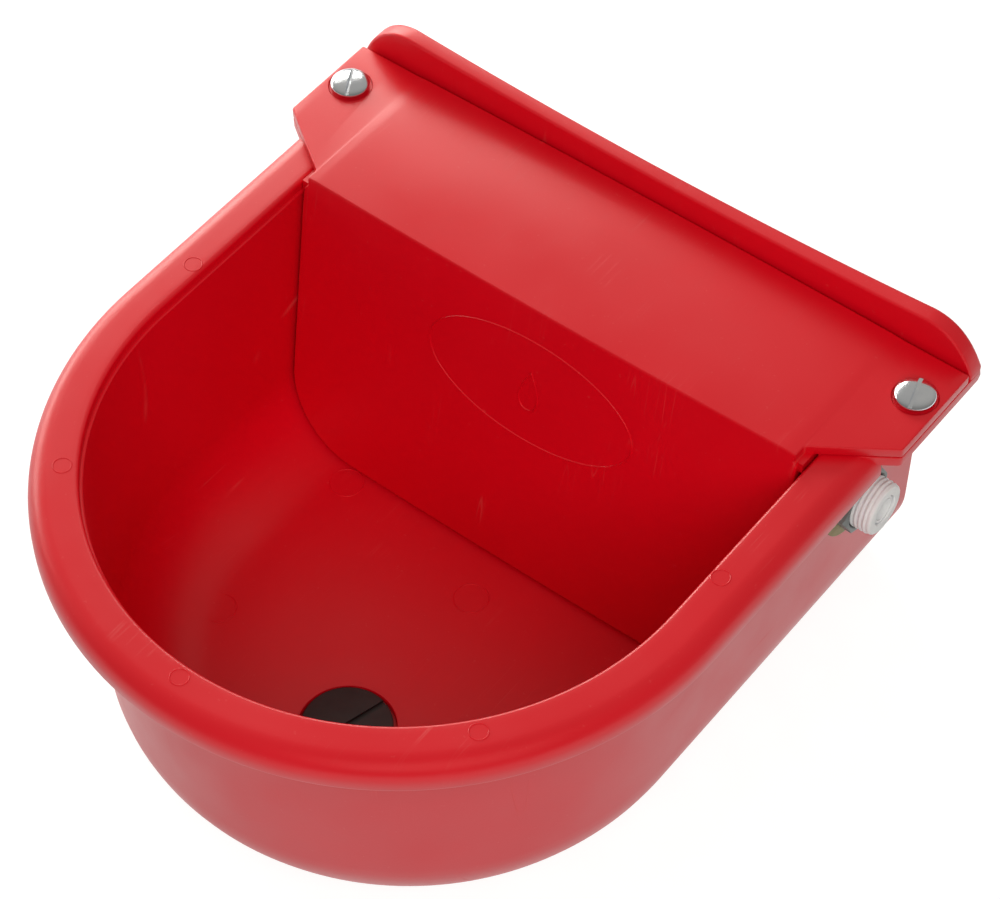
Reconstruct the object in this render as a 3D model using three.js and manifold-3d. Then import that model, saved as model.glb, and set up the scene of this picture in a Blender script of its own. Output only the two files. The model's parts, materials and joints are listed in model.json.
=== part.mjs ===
// Livestock water trough: a wall-hung drinking bowl with a float valve under a screwed cover.
// Millimetres, +Z up. The origin is below the middle of the object, on the plane it stands on.
// +Y points to the wall that the trough hangs on, and the water inlet is on the +X side.
import * as THREE from 'three';
import { mergeVertices } from 'three/addons/utils/BufferGeometryUtils.js';
import Module from 'manifold-3d';

const wasm = await Module();
wasm.setup();

// ---- driving dimensions -------------------------------------------------------------------
const BACK_Y = 142;              // face that lies against the wall
const COVER_TOP = 128;           // top of the cover plate above the base
const COVER_THICK = 4.4;
const RIM_TOP = 123.2;           // flat top of the rim and of the ears
const CLEARANCE = 0.3;           // gap between pieces that touch
const OVERCUT = 1;               // how far a cutting shape reaches past the face it opens

const BOWL_HALF = 112;           // inside half width at the rim
const BOWL_CENTRE_Y = -10.8;     // centre of the round front
const WALL = 3.8;
const DRAFT = 0.03;              // how much the walls close in per millimetre of depth
const FLOOR_TOP = 5.5;
const INNER_FILLET = 32;
const OUTER_FILLET = 35;
const BACK_WALL = 4.5;

const RIM_HALF = 131.2;          // outside half width of the rolled rim
const RIM_ROLL = 8;              // outer rounding of the rim
const RIM_DROP = 11.4;           // height of the rim's outer face below its top
const RIM_THICK = 3.2;
const RIM_END_Y = 88;            // the roll stops under the front of the ears
const RIM_INNER_EDGE = 1.6;      // bevel between the rim's top and the bowl's wall
const RIM_BAND = 6;              // depth of the rim where it joins the bowl's wall

const EAR_HALF = 137;
const EAR_FRONT_Y = 91;          // front end of the ear's side edge
const EAR_THICK = 4.8;
const LIP_FRONT_Y = 134.5;       // upstand behind the cover
const LIP_MIDDLE = 9.5;          // height above the cover plate in the middle
const LIP_END = 13.5;            // and near its ends
const LIP_CORNER = { width: 21, pull: 7, drop: 3 };
const EAR_INNER_Y = 73.8;        // where the ear's slanted front edge meets the bowl
const FIXING_HOLE = { x: 70, z: 88, r: 4.5 };

const COVER_BACK_Y = 133;
const COVER_STEP_X = 109.1;      // half width of the cover's front edge
const COVER_STEP_Y = 71.8;
const COVER_FRONT_Y = 66.8;
const SKIRT_LEAN = 0.2;          // how far the skirt comes forward per millimetre down
const SKIRT_THICK = 3.2;
const SKIRT_BOTTOM = 7.4;
const SKIRT_SIDE_GAP = 1.3;
const RIBS = { x: [-62, 0, 62], width: 2.4, height: 13, from: 0.5, to: 12 };

const SCREW = { x: 127.2, y: 113.5, shankR: 2.9, holeR: 3.4, headR: 7.5, headH: 3.6, length: 15 };
const SCREW_HEAD = { edgeH: 0.8, slotWidth: 1.5, slotDepth: 1.8 };
const SCREW_TURN = { left: 2.07, right: 1.86 };   // radians from the X axis to the slot
const RECESS = { r: 8.3, depth: 1.2 };
const SCREW_WASHER = { r: 6.2, thick: 1.0 };
const NUT_M6 = { flats: 10, thick: 5 };

const DRAIN = { y: -52.2, holeR: 13, recessR: 18.2, recessDepth: 2.5 };
const PLUG = { headR: 17.2, headThick: 2.0, shankR: 12.4, bevel: 0.8, edge: 0.5 };
const PLUG_SLOT = { width: 2.4, depth: 1.3, turn: 74 };   // degrees from the X axis
const SEAL = { r: 16.4, holeR: 13.2, thick: 0.9 };

const INLET = { y: 96.5, z: 83, threadR: 10.5, holeR: 10.9, end: 130 };
const INLET_WASHER = { r: 17.5, from: 115.6, to: 117.3 };
const LOCK_NUT = { flats: 25, from: 117.6, to: 122.4 };
const GASKET = { r: 15.4, from: 108.4, to: 109.9 };
const VALVE_FLANGE = { r: 16, from: 105.1, to: 108.1 };
const VALVE_TUBE = { r: 9.5, from: 91.5 };
const CHAMBER_R = 5.2;
const FEED = { r: 3, inletR: 6, inletFrom: 110 };   // bores between the thread's mouth and the seat
const YOKE = { near: 6, far: 9, reach: 5, overlap: 6, rise: 4 };
const OUTLET = { from: 97.2, to: 100.4, half: 3.5, depth: 14 };
const STRAINER = { r: 5.6, innerR: 4.6, from: 113, floor: 1, to: 129.4 };
const SEAT = { from: 100.9, to: 104, r: 4.9, orificeR: 1.6 };

const PIVOT = { x: 85, y: 96.5, z: 77, pinR: 1.5, holeR: 1.8 };
const PIN = { front: 11, back: 10.6, headR: 2.8, headFrom: 9.4 };
const CLIP = { r: 3.2, from: 9.4, to: 10.2 };
const ARM_REST_ANGLE = 14;       // degrees that the arm hangs below level when the bowl is empty
const PISTON = { r: 4.8, from: 90.5, to: 96.5, stemR: 2.4, stemFrom: 86.9 };
const PISTON_SEAL = { r: 3.6, from: 96.8, to: 98.3 };
const LEVER = { length: 30, half: 5.4, halfHeight: 3.6, bossR: 3 };
const FINGER = { half: 1.5, halfWidth: 2.6, height: 7 };
const FLOAT = { r: 22, near: 58, far: 130, wall: 1.6, capThick: 3, round: 8 };
const CAP = { spigot: 7, hubR: 6, wall: 3 };
const ROD = { r: 2, from: 17, to: 66 };
const ROD_NUT = { flats: 8, thick: 4 };

const CURVE_STEPS = 32;          // facets round the bowl's front
const ARC_STEPS = 5;             // facets of a quarter circle in a section

// ---- helpers ------------------------------------------------------------------------------
function solid(geometry) {
  const bare = geometry.index ? geometry.toNonIndexed() : geometry.clone();
  for (const name of Object.keys(bare.attributes)) {
    if (name !== 'position') bare.deleteAttribute(name);
  }
  const merged = mergeVertices(bare, 1e-4);
  const mesh = new wasm.Mesh({
    numProp: 3,
    vertProperties: new Float32Array(merged.attributes.position.array),
    triVerts: new Uint32Array(merged.index.array),
  });
  return new wasm.Manifold(mesh);
}

function geometryOf(manifold) {
  const mesh = manifold.getMesh();
  const geometry = new THREE.BufferGeometry();
  geometry.setAttribute('position', new THREE.BufferAttribute(mesh.vertProperties, 3));
  geometry.setIndex(new THREE.BufferAttribute(mesh.triVerts, 1));
  return geometry;
}

function shapeOf(points) {
  return new THREE.Shape(points.map(([x, y]) => new THREE.Vector2(x, y)));
}

// A flat outline in X and Y, raised from z = low to z = high.
function plate(shape, low, high) {
  const geometry = new THREE.ExtrudeGeometry(shape, { depth: high - low, bevelEnabled: false });
  return solid(geometry.translate(0, 0, low));
}

// A flat outline in X and Z, given thickness from y = front to y = back.
function upright(shape, front, back) {
  const geometry = new THREE.ExtrudeGeometry(shape, { depth: back - front, bevelEnabled: false });
  return solid(geometry.rotateX(Math.PI / 2).translate(0, back, 0));
}

function box(low, high) {
  const size = high.map((v, i) => v - low[i]);
  const middle = high.map((v, i) => (v + low[i]) / 2);
  return solid(new THREE.BoxGeometry(...size).translate(...middle));
}

// A profile of [radius, height] pairs turned about the Z axis.
function turned(profile, segments = 24) {
  const points = profile.map(([r, z]) => new THREE.Vector2(r, z));
  const geometry = new THREE.LatheGeometry(points, segments);
  return solid(geometry.rotateX(Math.PI / 2));
}

function disc(r, low, high, segments = 24) {
  return turned([[0, low], [r, low], [r, high], [0, high]], segments);
}

// Points of a quarter circle or more, from one angle to another.
function arc([x, y], radius, from, to) {
  const points = [];
  for (let i = 0; i <= ARC_STEPS; i++) {
    const angle = from + (to - from) * i / ARC_STEPS;
    points.push([x + radius * Math.cos(angle), y + radius * Math.sin(angle)]);
  }
  return points;
}

function rectangle(left, right, low, high) {
  return shapeOf([[left, low], [right, low], [right, high], [left, high]]);
}

// The same along the X axis, through the point (y, z).
function alongX(manifold, y, z) {
  return manifold.rotate([0, 90, 0]).translate([0, y, z]);
}

function alongY(manifold, x, z) {
  return manifold.rotate([-90, 0, 0]).translate([x, 0, z]);
}

function hexagon(flats) {
  const corner = flats / Math.sqrt(3);
  const points = [];
  for (let i = 0; i < 6; i++) {
    const angle = (i + 0.5) * Math.PI / 3;
    points.push([corner * Math.cos(angle), corner * Math.sin(angle)]);
  }
  return shapeOf(points);
}

// The bowl's plan outline: straight sides from the back, joined by a half circle in front.
function planOutline(half, backY) {
  const points = [[half, backY]];
  for (let i = 0; i <= CURVE_STEPS; i++) {
    const angle = -Math.PI * i / CURVE_STEPS;
    points.push([half * Math.cos(angle), BOWL_CENTRE_Y + half * Math.sin(angle)]);
  }
  points.push([-half, backY]);
  return points.reverse();
}

// Closes a stack of outlines with the same number of points into one solid.
function loft(levels) {
  const positions = [];
  const indices = [];
  const count = levels[0].points.length;
  for (const { points, z } of levels) {
    for (const [x, y] of points) positions.push(x, y, z);
  }
  for (let k = 0; k + 1 < levels.length; k++) {
    for (let i = 0; i < count; i++) {
      const a = k * count + i;
      const b = k * count + (i + 1) % count;
      indices.push(a, b, b + count, a, b + count, a + count);
    }
  }
  const flat = levels[0].points.map(([x, y]) => new THREE.Vector2(x, y));
  const top = (levels.length - 1) * count;
  for (const [a, b, c] of THREE.ShapeUtils.triangulateShape(flat, [])) {
    indices.push(c, b, a, top + a, top + b, top + c);
  }
  const geometry = new THREE.BufferGeometry();
  geometry.setAttribute('position', new THREE.Float32BufferAttribute(positions, 3));
  geometry.setIndex(indices);
  return solid(geometry);
}

// A closed profile of [half width, z] swept round the bowl's U-shaped plan.
function sweptRound(profile, backY) {
  const rings = profile.map(([half, z]) => planOutline(half, backY).map(([x, y]) => [x, y, z]));
  const count = rings[0].length;
  const positions = rings.flat(2);
  const indices = [];
  for (let k = 0; k < rings.length; k++) {
    const next = (k + 1) % rings.length;
    for (let i = 0; i + 1 < count; i++) {
      const a = k * count + i;
      const b = next * count + i;
      indices.push(a, a + 1, b + 1, a, b + 1, b);
    }
  }
  const section = profile.map(([half, z]) => new THREE.Vector2(half, z));
  for (const [a, b, c] of THREE.ShapeUtils.triangulateShape(section, [])) {
    const last = count - 1;
    indices.push(a * count, b * count, c * count);
    indices.push(c * count + last, b * count + last, a * count + last);
  }
  const geometry = new THREE.BufferGeometry();
  geometry.setAttribute('position', new THREE.Float32BufferAttribute(positions, 3));
  geometry.setIndex(indices);
  return solid(geometry);
}

// Half width and height of a drafted wall that turns into the floor through a fillet.
function wallProfile(topHalf, top, bottom, fillet) {
  const foot = topHalf - DRAFT * (top - bottom - fillet);
  const profile = arc([foot - fillet, bottom + fillet], fillet, -Math.PI / 2, 0);
  profile.push([topHalf, top]);
  return profile;
}

// ---- trough body --------------------------------------------------------------------------
function rimSection() {
  const right = Math.PI / 2;
  const centre = [RIM_HALF - RIM_ROLL, RIM_TOP - RIM_ROLL];
  return [
    [BOWL_HALF + RIM_INNER_EDGE, RIM_TOP],
    [BOWL_HALF, RIM_TOP - RIM_INNER_EDGE],
    [BOWL_HALF, RIM_TOP - RIM_BAND],
    [BOWL_HALF + WALL, RIM_TOP - RIM_BAND],
    [BOWL_HALF + WALL, RIM_TOP - RIM_THICK],
    ...arc(centre, RIM_ROLL - RIM_THICK, right, 0),
    [RIM_HALF - RIM_THICK, RIM_TOP - RIM_DROP],
    [RIM_HALF, RIM_TOP - RIM_DROP],
    ...arc(centre, RIM_ROLL, 0, right),
  ];
}

function lipShape() {
  const shape = new THREE.Shape();
  const base = RIM_TOP - EAR_THICK;
  const end = COVER_TOP + LIP_END;
  const low = COVER_TOP - LIP_CORNER.drop;
  const shoulder = EAR_HALF - LIP_CORNER.width;
  const bend = EAR_HALF - LIP_CORNER.pull;
  shape.moveTo(-EAR_HALF, base);
  shape.lineTo(EAR_HALF, base);
  shape.lineTo(EAR_HALF, low);
  shape.quadraticCurveTo(bend, end, shoulder, end);
  shape.quadraticCurveTo(0, COVER_TOP + 2 * LIP_MIDDLE - LIP_END, -shoulder, end);
  shape.quadraticCurveTo(-bend, end, -EAR_HALF, low);
  return shape;
}

function ear(side) {
  const points = [
    [BOWL_HALF, BACK_Y], [EAR_HALF, BACK_Y], [EAR_HALF, EAR_FRONT_Y], [BOWL_HALF, EAR_INNER_Y],
  ];
  const outline = side > 0 ? points.reverse() : points.map(([x, y]) => [-x, y]);
  return plate(shapeOf(outline), RIM_TOP - EAR_THICK, RIM_TOP);
}

function bowl() {
  const outer = wallProfile(BOWL_HALF + WALL, RIM_TOP - RIM_THICK / 2, 0, OUTER_FILLET);
  const inner = wallProfile(BOWL_HALF, RIM_TOP, FLOOR_TOP, INNER_FILLET);
  inner.push([BOWL_HALF, COVER_TOP + LIP_END + OVERCUT]);
  const level = (backY) => ([half, z]) => ({ points: planOutline(half, backY), z });
  const shell = loft(outer.map(level(BACK_Y)));
  const cavity = loft(inner.map(level(BACK_Y - BACK_WALL)));
  return shell.add(sweptRound(rimSection(), RIM_END_Y)).add(ear(1)).add(ear(-1)).subtract(cavity);
}

function troughBody() {
  const seat = FLOOR_TOP - DRAIN.recessDepth;
  const holes = [
    disc(DRAIN.holeR, -OVERCUT, FLOOR_TOP + OVERCUT).translate([0, DRAIN.y, 0]),
    disc(DRAIN.recessR, seat, FLOOR_TOP + OVERCUT, 40).translate([0, DRAIN.y, 0]),
    alongX(disc(INLET.holeR, BOWL_HALF - 7, BOWL_HALF + 8), INLET.y, INLET.z),
  ];
  for (const side of [-1, 1]) {
    const screwHole = disc(SCREW.holeR, RIM_TOP - EAR_THICK - 3, RIM_TOP + OVERCUT, 20);
    holes.push(screwHole.translate([side * SCREW.x, SCREW.y, 0]));
    const fixing = disc(FIXING_HOLE.r, BACK_Y - BACK_WALL - 3, BACK_Y + OVERCUT, 20);
    holes.push(alongY(fixing, side * FIXING_HOLE.x, FIXING_HOLE.z));
  }
  const body = bowl().add(upright(lipShape(), LIP_FRONT_Y, BACK_Y));
  return holes.reduce((left, hole) => left.subtract(hole), body);
}

// ---- float cover --------------------------------------------------------------------------
function skirt() {
  const outline = wallProfile(BOWL_HALF, RIM_TOP, FLOOR_TOP, INNER_FILLET)
    .map(([half, z]) => [half - SKIRT_SIDE_GAP, z + SKIRT_BOTTOM - FLOOR_TOP]);
  outline[outline.length - 1] = [COVER_STEP_X, COVER_TOP - OVERCUT];
  const left = outline.map(([x, z]) => [-x, z]).reverse();
  const sheet = upright(shapeOf([...outline, ...left]), 0, SKIRT_THICK);
  const shear = [1, 0, 0, 0, 0, 1, 0, 0, 0, SKIRT_LEAN, 1, 0, 0, 0, 0, 1];
  return sheet.transform(shear).translate([0, COVER_FRONT_Y - SKIRT_LEAN * COVER_TOP, 0]);
}

function coverPlate() {
  const half = [
    [0, COVER_FRONT_Y], [COVER_STEP_X, COVER_FRONT_Y], [COVER_STEP_X, COVER_STEP_Y],
    [EAR_HALF, EAR_FRONT_Y], [EAR_HALF, COVER_BACK_Y],
  ];
  const mirrored = half.slice(1).map(([x, y]) => [-x, y]).reverse();
  return plate(shapeOf([...half, ...mirrored]), COVER_TOP - COVER_THICK, COVER_TOP);
}

function floatCover() {
  let cover = coverPlate().add(skirt());
  const ribTop = COVER_TOP - OVERCUT;
  for (const x of RIBS.x) {
    const side = rectangle(x - RIBS.width / 2, x + RIBS.width / 2, ribTop - RIBS.height, ribTop);
    cover = cover.add(upright(side, COVER_FRONT_Y + RIBS.from, COVER_FRONT_Y + RIBS.to));
  }
  for (const side of [-1, 1]) {
    const at = [side * SCREW.x, SCREW.y, 0];
    const recess = disc(RECESS.r, COVER_TOP - RECESS.depth, COVER_TOP + OVERCUT, 28);
    const hole = disc(SCREW.holeR, COVER_TOP - 2 * COVER_THICK, COVER_TOP + OVERCUT, 20);
    cover = cover.subtract(recess.translate(at)).subtract(hole.translate(at));
  }
  return cover;
}

// ---- cover fasteners ----------------------------------------------------------------------
const WASHER_LOW = COVER_TOP - RECESS.depth + CLEARANCE;
const HEAD_LOW = WASHER_LOW + SCREW_WASHER.thick + CLEARANCE;

function coverScrew() {
  const { headR, headH, shankR, length } = SCREW;
  const { edgeH, slotWidth, slotDepth } = SCREW_HEAD;
  const tip = HEAD_LOW - length;
  const profile = [[0, tip], [shankR - 0.6, tip], [shankR, tip + 1], [shankR, HEAD_LOW], [headR, HEAD_LOW]];
  for (const [x, rise] of arc([0, 0], 1, 0, Math.PI / 2)) {
    profile.push([headR * x, HEAD_LOW + edgeH + (headH - edgeH) * rise]);
  }
  profile[profile.length - 1][0] = 0;
  const top = HEAD_LOW + headH;
  const reach = headR + OVERCUT;
  const slot = box([-reach, -slotWidth / 2, top - slotDepth], [reach, slotWidth / 2, top + OVERCUT]);
  return turned(profile, 28).subtract(slot);
}

function screwWasher() {
  const low = WASHER_LOW;
  const high = low + SCREW_WASHER.thick;
  return disc(SCREW_WASHER.r, low, high, 24).subtract(disc(SCREW.holeR, low - OVERCUT, high + OVERCUT, 20));
}

function coverNut() {
  const high = RIM_TOP - EAR_THICK - CLEARANCE;
  const low = high - NUT_M6.thick;
  const bore = disc(SCREW.shankR + CLEARANCE, low - OVERCUT, high + OVERCUT, 20);
  return plate(hexagon(NUT_M6.flats), low, high).subtract(bore);
}

// ---- drain --------------------------------------------------------------------------------
const SEAL_LOW = FLOOR_TOP - DRAIN.recessDepth + CLEARANCE;
const PLUG_LOW = SEAL_LOW + SEAL.thick + CLEARANCE;

function drainPlug() {
  const { headR, headThick, shankR, bevel, edge } = PLUG;
  const top = PLUG_LOW + headThick;
  const profile = [
    [0, CLEARANCE], [shankR - bevel, CLEARANCE], [shankR, CLEARANCE + bevel], [shankR, PLUG_LOW],
    [headR, PLUG_LOW], [headR, top - edge], [headR - edge, top], [0, top],
  ];
  const reach = headR + OVERCUT;
  const half = PLUG_SLOT.width / 2;
  const slot = box([-reach, -half, top - PLUG_SLOT.depth], [reach, half, top + OVERCUT]);
  return turned(profile, 40).subtract(slot.rotate([0, 0, PLUG_SLOT.turn]));
}

function drainSeal() {
  const high = SEAL_LOW + SEAL.thick;
  const hole = disc(SEAL.holeR, SEAL_LOW - OVERCUT, high + OVERCUT, 40);
  return disc(SEAL.r, SEAL_LOW, high, 40).subtract(hole);
}

// ---- float valve --------------------------------------------------------------------------
function inletValveBody() {
  const { r, from, to } = VALVE_FLANGE;
  const { threadR, end } = INLET;
  const outline = [
    [0, VALVE_TUBE.from], [VALVE_TUBE.r, VALVE_TUBE.from], [VALVE_TUBE.r, from], [r, from], [r, to],
    [threadR, to], [threadR, end - 1], [threadR - 1, end], [0, end],
  ];
  let body = alongX(turned(outline, 32), INLET.y, INLET.z);
  for (const side of [-1, 1]) {
    const walls = [PIVOT.y + side * YOKE.near, PIVOT.y + side * YOKE.far];
    const low = [PIVOT.x - YOKE.reach, Math.min(...walls), PIVOT.z - YOKE.reach];
    const high = [VALVE_TUBE.from + YOKE.overlap, Math.max(...walls), INLET.z + YOKE.rise];
    body = body.add(box(low, high));
  }
  const bores = [
    [CHAMBER_R, VALVE_TUBE.from - OVERCUT, SEAT.to + CLEARANCE],
    [FEED.r, SEAT.to, FEED.inletFrom + OVERCUT],
    [FEED.inletR, FEED.inletFrom, end + OVERCUT],
  ];
  for (const [radius, low, high] of bores) {
    body = body.subtract(alongX(disc(radius, low, high, 24), INLET.y, INLET.z));
  }
  const { half, depth } = OUTLET;
  const outlet = box([OUTLET.from, INLET.y - half, INLET.z - depth], [OUTLET.to, INLET.y + half, INLET.z]);
  const across = YOKE.far + OVERCUT;
  const pivotHole = disc(PIVOT.holeR, PIVOT.y - across, PIVOT.y + across, 20);
  return body.subtract(outlet).subtract(alongY(pivotHole, PIVOT.x, PIVOT.z));
}

function ringOnInlet(outerR, holeR, { from, to }) {
  const hole = disc(holeR, from - OVERCUT, to + OVERCUT, 32);
  return alongX(disc(outerR, from, to, 36).subtract(hole), INLET.y, INLET.z);
}

function inletLockNut() {
  const { flats, from, to } = LOCK_NUT;
  const hole = disc(INLET.holeR, from - OVERCUT, to + OVERCUT);
  return alongX(plate(hexagon(flats), from, to).subtract(hole), INLET.y, INLET.z);
}

function inletStrainer() {
  const { r, innerR, from, floor, to } = STRAINER;
  const cup = disc(r, from, to, 24).subtract(disc(innerR, from + floor, to + OVERCUT, 24));
  return alongX(cup, INLET.y, INLET.z);
}

function valvePiston() {
  const { r, from, to, stemR, stemFrom } = PISTON;
  const profile = [[0, stemFrom], [stemR, stemFrom], [stemR, from], [r, from], [r, to], [0, to]];
  return alongX(turned(profile, 24), INLET.y, INLET.z);
}

function pistonSeal() {
  return alongX(disc(PISTON_SEAL.r, PISTON_SEAL.from, PISTON_SEAL.to, 24), INLET.y, INLET.z);
}

function pivotPin() {
  const back = PIVOT.y + PIN.back;
  const shank = disc(PIVOT.pinR, PIVOT.y - PIN.front, back, 20);
  return alongY(shank.add(disc(PIN.headR, PIVOT.y + PIN.headFrom, back, 20)), PIVOT.x, PIVOT.z);
}

function pivotClip() {
  const low = PIVOT.y - CLIP.to;
  const high = PIVOT.y - CLIP.from;
  const hole = disc(PIVOT.holeR, low - OVERCUT, high + OVERCUT, 20);
  return alongY(disc(CLIP.r, low, high, 20).subtract(hole), PIVOT.x, PIVOT.z);
}

// The arm's pieces are laid out level, reaching to -X from the pivot, with the pivot at the origin.
function floatLever() {
  const { length, half, halfHeight, bossR } = LEVER;
  const bar = box([-length, -half, -halfHeight], [0, half, halfHeight]);
  const boss = alongY(disc(bossR, -half, half, 20), 0, 0);
  const finger = box([-FINGER.half, -FINGER.halfWidth, 0], [FINGER.half, FINGER.halfWidth, FINGER.height]);
  const pinHole = alongY(disc(PIVOT.holeR, -half - OVERCUT, half + OVERCUT, 20), 0, 0);
  const rodHole = alongX(disc(ROD.r + CLEARANCE, -length - OVERCUT, CLEARANCE - ROD.from, 20), 0, 0);
  return bar.add(boss).add(finger).subtract(pinHole).subtract(rodHole);
}

function floatRod() {
  return alongX(disc(ROD.r, -ROD.to, -ROD.from, 20), 0, 0);
}

function rodNut() {
  const low = CLEARANCE - FLOAT.near;
  const high = low + ROD_NUT.thick;
  const hole = disc(ROD.r + CLEARANCE, low - OVERCUT, high + OVERCUT, 20);
  return alongX(plate(hexagon(ROD_NUT.flats), low, high).subtract(hole), 0, 0);
}

function floatCap() {
  const { r, near, wall, capThick } = FLOAT;
  const inner = -near - CAP.spigot;
  const spigotR = r - wall - CLEARANCE;
  const cap = disc(r, -near - capThick, -near, 32).add(disc(spigotR, inner, -near, 32));
  const hub = disc(CAP.hubR, inner - OVERCUT, -near - capThick, 20);
  const hollow = disc(spigotR - CAP.wall, inner - OVERCUT, -near - capThick, 32).subtract(hub);
  const hole = disc(ROD.r + CLEARANCE, inner - OVERCUT, OVERCUT - near, 20);
  return alongX(cap.subtract(hollow).subtract(hole), 0, 0);
}

function floatShell() {
  const { r, near, far, wall, capThick, round } = FLOAT;
  const mouth = -near - capThick - CLEARANCE;
  const centre = [r - round, round - far];
  const outside = arc(centre, round, -Math.PI / 2, 0);
  const inside = arc(centre, round - wall, -Math.PI / 2, 0).reverse();
  const profile = [[0, -far], ...outside, [r, mouth], [r - wall, mouth], ...inside, [0, wall - far]];
  return alongX(turned(profile, 32), 0, 0);
}

// ---- assembly -----------------------------------------------------------------------------
const MATERIALS = {
  red: { color: 0xc81e1e, roughness: 0.4, metalness: 0 },
  zinc: { color: 0xc9ced6, roughness: 0.25, metalness: 1 },
  black: { color: 0x1c1b1b, roughness: 0.5, metalness: 0 },
  rubber: { color: 0x161616, roughness: 0.8, metalness: 0 },
  nylon: { color: 0xe6e6ea, roughness: 0.45, metalness: 0 },
  grey: { color: 0x6c7474, roughness: 0.6, metalness: 0 },
  fibre: { color: 0x9a8a5c, roughness: 0.85, metalness: 0 },
  brass: { color: 0xb08d4a, roughness: 0.3, metalness: 1 },
  float: { color: 0xd8dadc, roughness: 0.5, metalness: 0 },
};

function part(name, colour, manifold) {
  const material = new THREE.MeshStandardMaterial(MATERIALS[colour]);
  const mesh = new THREE.Mesh(geometryOf(manifold), material);
  mesh.name = name;
  return mesh;
}

const group = new THREE.Group();
group.add(part('trough_body', 'red', troughBody()));
group.add(part('float_cover', 'red', floatCover()));

for (const [side, name] of [[-1, 'left'], [1, 'right']]) {
  const fasteners = new THREE.Group();
  fasteners.position.set(side * SCREW.x, SCREW.y, 0);
  const screw = part(`${name}_cover_screw`, 'zinc', coverScrew());
  screw.rotation.z = SCREW_TURN[name];
  fasteners.add(screw);
  fasteners.add(part(`${name}_screw_washer`, 'zinc', screwWasher()));
  fasteners.add(part(`${name}_cover_nut`, 'zinc', coverNut()));
  group.add(fasteners);
}

const drain = new THREE.Group();
drain.position.set(0, DRAIN.y, 0);
drain.add(part('drain_plug', 'black', drainPlug()));
drain.add(part('drain_seal', 'rubber', drainSeal()));
group.add(drain);

group.add(part('inlet_valve_body', 'nylon', inletValveBody()));
group.add(part('inlet_lock_nut', 'grey', inletLockNut()));
group.add(part('inlet_washer', 'fibre', ringOnInlet(INLET_WASHER.r, INLET.holeR, INLET_WASHER)));
group.add(part('inlet_gasket', 'rubber', ringOnInlet(GASKET.r, INLET.holeR, GASKET)));
group.add(part('inlet_strainer', 'nylon', inletStrainer()));
group.add(part('valve_seat', 'brass', ringOnInlet(SEAT.r, SEAT.orificeR, SEAT)));
group.add(part('valve_piston', 'nylon', valvePiston()));
group.add(part('piston_seal', 'rubber', pistonSeal()));
group.add(part('pivot_pin', 'brass', pivotPin()));
group.add(part('pivot_clip', 'zinc', pivotClip()));

const arm = new THREE.Group();
arm.position.set(PIVOT.x, PIVOT.y, PIVOT.z);
arm.rotation.y = THREE.MathUtils.degToRad(-ARM_REST_ANGLE);
arm.add(part('float_lever', 'nylon', floatLever()));
arm.add(part('float_rod', 'brass', floatRod()));
arm.add(part('rod_nut', 'brass', rodNut()));
arm.add(part('float_cap', 'float', floatCap()));
arm.add(part('float_shell', 'float', floatShell()));
group.add(arm);

export default group;
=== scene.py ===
"""Looks of a wall-hung livestock water trough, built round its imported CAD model.

The red mouldings and all the small hardware are modelled again here as smooth meshes in the
places where the frame holds them. Lengths below are in millimetres and turned into metres
by MM when a mesh is made.
"""

import json
import math

import bmesh
import bpy
from mathutils import Matrix, Vector


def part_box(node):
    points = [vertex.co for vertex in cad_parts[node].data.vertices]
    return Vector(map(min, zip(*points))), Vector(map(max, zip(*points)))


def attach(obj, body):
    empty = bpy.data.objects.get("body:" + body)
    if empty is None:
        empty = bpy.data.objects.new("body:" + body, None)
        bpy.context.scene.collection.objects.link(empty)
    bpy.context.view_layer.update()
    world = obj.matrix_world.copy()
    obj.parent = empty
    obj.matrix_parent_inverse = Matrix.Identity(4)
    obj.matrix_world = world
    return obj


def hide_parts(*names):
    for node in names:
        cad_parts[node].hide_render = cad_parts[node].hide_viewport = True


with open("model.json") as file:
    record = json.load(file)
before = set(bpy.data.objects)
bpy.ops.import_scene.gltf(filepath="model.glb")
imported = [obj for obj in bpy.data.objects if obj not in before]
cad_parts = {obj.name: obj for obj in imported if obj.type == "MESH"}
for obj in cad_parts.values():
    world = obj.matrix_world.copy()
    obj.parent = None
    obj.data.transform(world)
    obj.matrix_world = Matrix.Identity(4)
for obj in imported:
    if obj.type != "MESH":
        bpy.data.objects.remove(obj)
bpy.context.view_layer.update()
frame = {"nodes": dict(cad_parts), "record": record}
MM = 0.001
TAU = 2 * math.pi


def node_box(name):
    """A CAD node's lowest and highest corners in millimetres."""
    low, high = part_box(name)
    return low / MM, high / MM


def middle(name):
    """The middle of a CAD node's box in millimetres."""
    low, high = node_box(name)
    return (low + high) / 2


# ---- driving dimensions --------------------------------------------------------------------
BODY_LOW, BODY_HIGH = node_box("trough_body")
COVER_LOW, COVER_HIGH = node_box("float_cover")

BACK_Y = BODY_HIGH.y
COVER_TOP = COVER_HIGH.z
COVER_BACK_Y = COVER_HIGH.y
EAR_HALF = BODY_HIGH.x
COVER_THICK = 4.4
RIM_TOP = COVER_TOP - COVER_THICK - 0.4

BOWL_HALF = 112.0
BOWL_CENTRE_Y = -10.8
WALL = 3.8
DRAFT = 0.03
FLOOR_TOP = 5.5
INNER_FILLET = 32.0
OUTER_FILLET = 35.0
BACK_WALL = 4.5

RIM_HALF = BOWL_CENTRE_Y - BODY_LOW.y
RIM_ROLL = 8.0
RIM_DROP = 11.4
RIM_THICK = 3.2
RIM_END_Y = 88.0
LEDGE_WIDTH = 0.9
LEDGE_DROP = 4.2

EAR_FRONT_Y = 91.0
EAR_THICK = 4.8
LIP_FRONT_Y = 134.5
LIP_MIDDLE = 9.5
LIP_END = BODY_HIGH.z - COVER_TOP

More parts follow.
